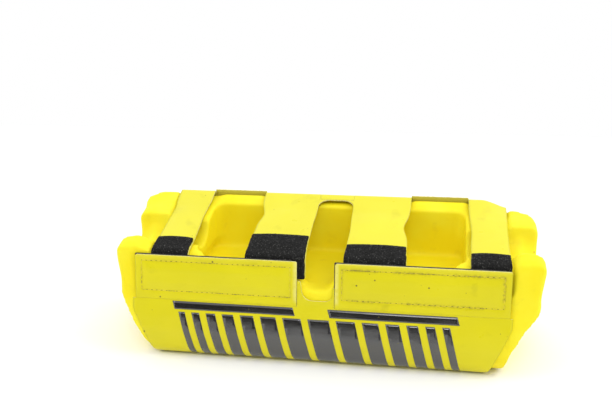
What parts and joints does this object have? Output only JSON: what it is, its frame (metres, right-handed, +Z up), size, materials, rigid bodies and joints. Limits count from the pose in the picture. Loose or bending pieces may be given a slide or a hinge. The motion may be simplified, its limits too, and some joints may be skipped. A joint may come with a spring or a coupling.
{
  "type": "handlebar pad",
  "caption": "Foam crossbar pad with a vinyl cover: a pocket and end grooves sit over a handlebar and clamp, closed by strap tabs under hook-and-loop flaps.",
  "frame": {"origin": "centre of the bounding box's base, on the surface the pad stands on", "axes": "+X along the handlebar, -Y towards the printed front sheet with the flaps, +Z up out of the open pocket"},
  "size_m": [0.254, 0.083, 0.0822],
  "materials": {
    "foam": "closed-cell foam skin, satin",
    "vinyl": "smooth coated vinyl, semi-gloss",
    "strap_vinyl": "smooth coated vinyl, semi-gloss",
    "hook_tape": "hook side of hook-and-loop tape",
    "loop_tape": "loop side of hook-and-loop tape",
    "thread": "polyester thread",
    "loop_thread": "black polyester thread",
    "print": "black screen-printed ink"
  },
  "bodies": {
    "pad": {"foam_core": "foam", "cover_wrap": "vinyl"},
    "left_flap": {"left_flap": "vinyl", "left_hook_tape": "hook_tape", "left_flap_seam": "thread"},
    "right_flap": {"right_flap": "vinyl", "right_hook_tape": "hook_tape", "right_flap_seam": "thread"},
    "left_end_tab": {"left_end_strap": "strap_vinyl", "left_end_loop_tape": "loop_tape", "left_end_loop_seam": "loop_thread"},
    "left_centre_tab": {"left_centre_strap": "strap_vinyl", "left_centre_loop_tape": "loop_tape", "left_centre_loop_seam": "loop_thread"},
    "right_centre_tab": {"right_centre_strap": "strap_vinyl", "right_centre_loop_tape": "loop_tape", "right_centre_loop_seam": "loop_thread"},
    "right_end_tab": {"right_end_strap": "strap_vinyl", "right_end_loop_tape": "loop_tape", "right_end_loop_seam": "loop_thread"}
  },
  "joints": [
    {"name": "left_flap_fold", "type": "hinge", "parent": "pad", "child": "left_flap", "pos_m": [0, -0.0363, 0.0378], "axis": [1, 0, 0], "range_deg": [0, 150]},
    {"name": "right_flap_fold", "type": "hinge", "parent": "pad", "child": "right_flap", "pos_m": [0, -0.0363, 0.0378], "axis": [1, 0, 0], "range_deg": [0, 150]},
    {"name": "left_end_tab_fold", "type": "hinge", "parent": "pad", "child": "left_end_tab", "pos_m": [0, 0.0295, 0.07972], "axis": [-1, 0, 0], "range_deg": [0, 75]},
    {"name": "left_centre_tab_fold", "type": "hinge", "parent": "pad", "child": "left_centre_tab", "pos_m": [0, 0.0295, 0.07972], "axis": [-1, 0, 0], "range_deg": [0, 75]},
    {"name": "right_centre_tab_fold", "type": "hinge", "parent": "pad", "child": "right_centre_tab", "pos_m": [0, 0.0295, 0.07972], "axis": [-1, 0, 0], "range_deg": [0, 75]},
    {"name": "right_end_tab_fold", "type": "hinge", "parent": "pad", "child": "right_end_tab", "pos_m": [0, 0.0295, 0.07972], "axis": [-1, 0, 0], "range_deg": [0, 75]}
  ],
  "couplings": [
    {"joint": "left_end_tab_fold", "follows": "left_flap_fold", "ratio": 0.5},
    {"joint": "left_centre_tab_fold", "follows": "left_flap_fold", "ratio": 0.5},
    {"joint": "right_centre_tab_fold", "follows": "right_flap_fold", "ratio": 0.5},
    {"joint": "right_end_tab_fold", "follows": "right_flap_fold", "ratio": 0.5}
  ]
}
